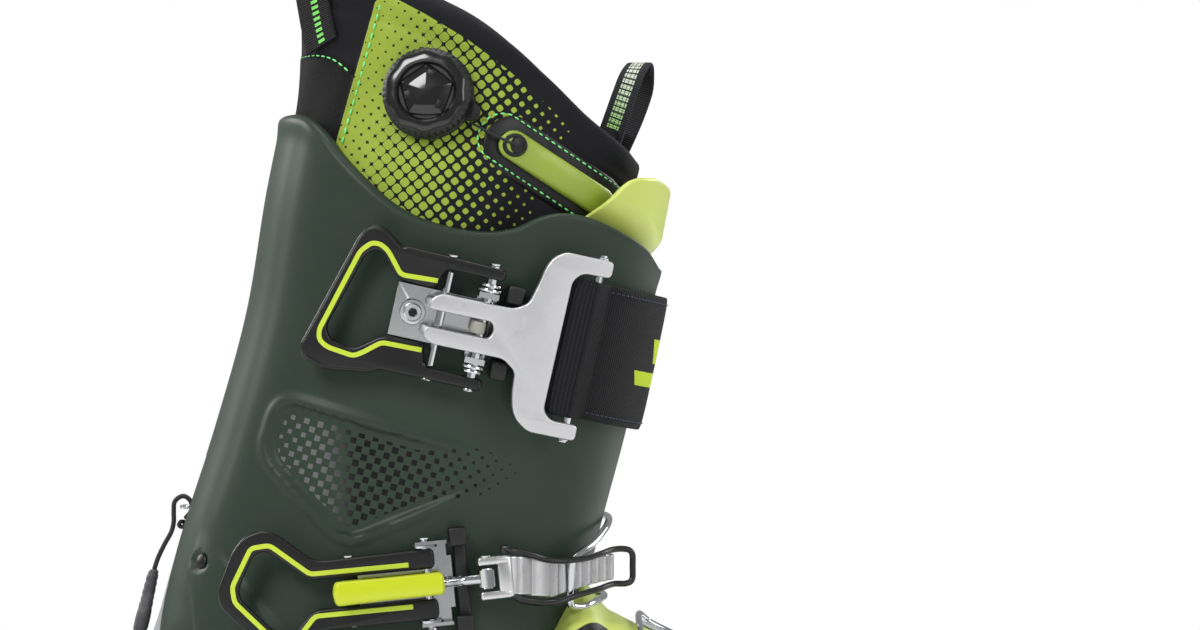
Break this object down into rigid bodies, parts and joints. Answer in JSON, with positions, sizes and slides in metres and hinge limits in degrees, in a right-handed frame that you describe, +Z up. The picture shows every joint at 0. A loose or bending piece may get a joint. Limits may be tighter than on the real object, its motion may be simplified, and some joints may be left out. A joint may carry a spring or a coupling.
{
  "type": "alpine touring ski boot",
  "caption": "Right-foot alpine touring ski boot: hinged cuff over a lower shell, lever buckles, walk lever, laced removable liner and rubber sole pads with binding sockets.",
  "frame": {"origin": "bottom centre of the boot's box, without the free pull cord, on the plane the sole pads stand on", "axes": "+X towards the toe, +Z up, -Y towards the outer side with the buckle levers"},
  "size_m": [0.315, 0.1332, 0.3765],
  "materials": {
    "shell_plastic": "satin dark green",
    "tongue_plastic": "satin yellow-green",
    "sleeve_plastic": "bright yellow-green",
    "sole_rubber": "matte black",
    "pad_rubber": "matte black",
    "board_plastic": "black",
    "liner_textile": "black with green overlays",
    "webbing": "woven black",
    "lever_alloy": "satin black",
    "link_alloy": "bead blasted",
    "steel": "polished"
  },
  "bodies": {
    "shell": {"lower_shell": "shell_plastic", "toe_sole": "sole_rubber", "heel_sole": "sole_rubber", "toe_insert_outer": "steel", "toe_insert_inner": "steel", "heel_insert": "steel", "heel_insert_screw": "steel", "boot_board": "board_plastic", "liner_foot": "liner_textile", "tongue_lower": "tongue_plastic", "pivot_bolt_outer": "steel", "pivot_bolt_inner": "steel", "lock_plate": "steel", "instep_base": "steel", "instep_catch": "link_alloy", "toe_base": "steel", "toe_catch": "link_alloy"},
    "cuff": {"cuff_shell": "shell_plastic", "liner_shaft": "liner_textile", "liner_tongue": "liner_textile", "tongue_upper": "tongue_plastic", "walk_pin": "steel", "front_pull_loop": "webbing", "rear_pull_loop": "webbing", "dial_base": "board_plastic", "lace_guide": "tongue_plastic", "lace": "webbing", "upper_buckle_base": "steel", "upper_base_screw": "steel", "upper_hinge_pin": "steel", "upper_buckle_pads": "pad_rubber", "strap_fixed": "webbing", "cuff_buckle_base": "steel", "cuff_base_screw": "steel", "cuff_hinge_pin": "steel", "cuff_buckle_pads": "pad_rubber", "bail_bracket": "steel"},
    "upper_lever": {"upper_lever": "lever_alloy"},
    "upper_link": {"tee_link": "link_alloy", "strap_bar": "steel", "upper_link_pin": "steel", "strap_free": "webbing"},
    "cuff_lever": {"cuff_lever": "lever_alloy"},
    "cuff_link": {"adjuster_sleeve": "sleeve_plastic", "eye_bolt": "steel", "ladder": "link_alloy", "ladder_keeper": "lever_alloy"},
    "cuff_bail": {"bail": "steel"},
    "instep_lever": {"instep_lever": "lever_alloy"},
    "instep_bail": {"instep_bail": "steel"},
    "toe_lever": {"toe_lever": "lever_alloy"},
    "toe_bail": {"toe_bail": "steel"},
    "walk_lever": {"walk_lever": "link_alloy", "walk_staple": "steel", "pull_cord": "webbing", "cord_knot": "webbing", "pull_tab": "sole_rubber"},
    "dial_hub": {"dial_hub": "board_plastic"},
    "dial_knob": {"dial_knob": "board_plastic"}
  },
  "joints": [
    {"name": "cuff_flex", "type": "hinge", "parent": "shell", "child": "cuff", "pos_m": [-0.07394, 0.00555, 0.105], "axis": [0, 1, 0], "range_deg": [-20, 3]},
    {"name": "upper_lever_open", "type": "hinge", "parent": "cuff", "child": "upper_lever", "pos_m": [-0.03508, -0.057, 0.23489], "axis": [0.2214, -0.0606, 0.9733], "range_deg": [0, 100]},
    {"name": "upper_link_slide", "type": "slide", "parent": "cuff", "child": "upper_link", "axis": [0.791, -0.5726, -0.2156], "range_m": [0, 0.0232]},
    {"name": "cuff_lever_open", "type": "hinge", "parent": "cuff", "child": "cuff_lever", "pos_m": [-0.05364, -0.04929, 0.14609], "axis": [-0.0938, -0.0261, 0.9953], "range_deg": [0, 100]},
    {"name": "cuff_link_turn", "type": "hinge", "parent": "cuff_lever", "child": "cuff_link", "pos_m": [-0.08042, -0.04948, 0.14357], "axis": [-0.0938, -0.0261, 0.9953], "range_deg": [-101, 0]},
    {"name": "bail_swing", "type": "hinge", "parent": "cuff", "child": "cuff_bail", "pos_m": [0.00256, 0.03112, 0.15395], "axis": [0.1826, -0.0111, 0.9831], "range_deg": [0, 101]},
    {"name": "instep_lever_open", "type": "hinge", "parent": "shell", "child": "instep_lever", "pos_m": [0.02434, -0.05164, 0.09619], "axis": [-0.9549, -0.1168, -0.2732], "range_deg": [0, 90]},
    {"name": "instep_bail_turn", "type": "hinge", "parent": "instep_lever", "child": "instep_bail", "pos_m": [0.02985, -0.05493, 0.0783], "axis": [-0.9549, -0.1168, -0.2732], "range_deg": [-91, 0]},
    {"name": "toe_lever_open", "type": "hinge", "parent": "shell", "child": "toe_lever", "pos_m": [0.07563, -0.05246, 0.07858], "axis": [-0.98, -0.1983, -0.0159], "range_deg": [0, 90]},
    {"name": "toe_bail_turn", "type": "hinge", "parent": "toe_lever", "child": "toe_bail", "pos_m": [0.07676, -0.05652, 0.06005], "axis": [-0.98, -0.1983, -0.0159], "range_deg": [-101, 0]},
    {"name": "walk_release", "type": "hinge", "parent": "cuff", "child": "walk_lever", "pos_m": [-0.13354, 0.00555, 0.184], "axis": [0, 1, 0], "range_deg": [0, 16]},
    {"name": "dial_lift", "type": "slide", "parent": "cuff", "child": "dial_hub", "axis": [-0.1242, -0.9823, 0.1401], "range_m": [0, 0.003]},
    {"name": "dial_turn", "type": "hinge", "parent": "dial_hub", "child": "dial_knob", "pos_m": [-0.05334, -0.04097, 0.316], "axis": [-0.1242, -0.9823, 0.1401], "continuous": true}
  ],
  "couplings": [
    {"joint": "upper_link_slide", "follows": "upper_lever_open", "m_per_rad": 0.01318},
    {"joint": "cuff_link_turn", "follows": "cuff_lever_open", "ratio": -1},
    {"joint": "bail_swing", "follows": "cuff_lever_open", "ratio": 1},
    {"joint": "instep_bail_turn", "follows": "instep_lever_open", "ratio": -1},
    {"joint": "toe_bail_turn", "follows": "toe_lever_open", "ratio": -1}
  ]
}
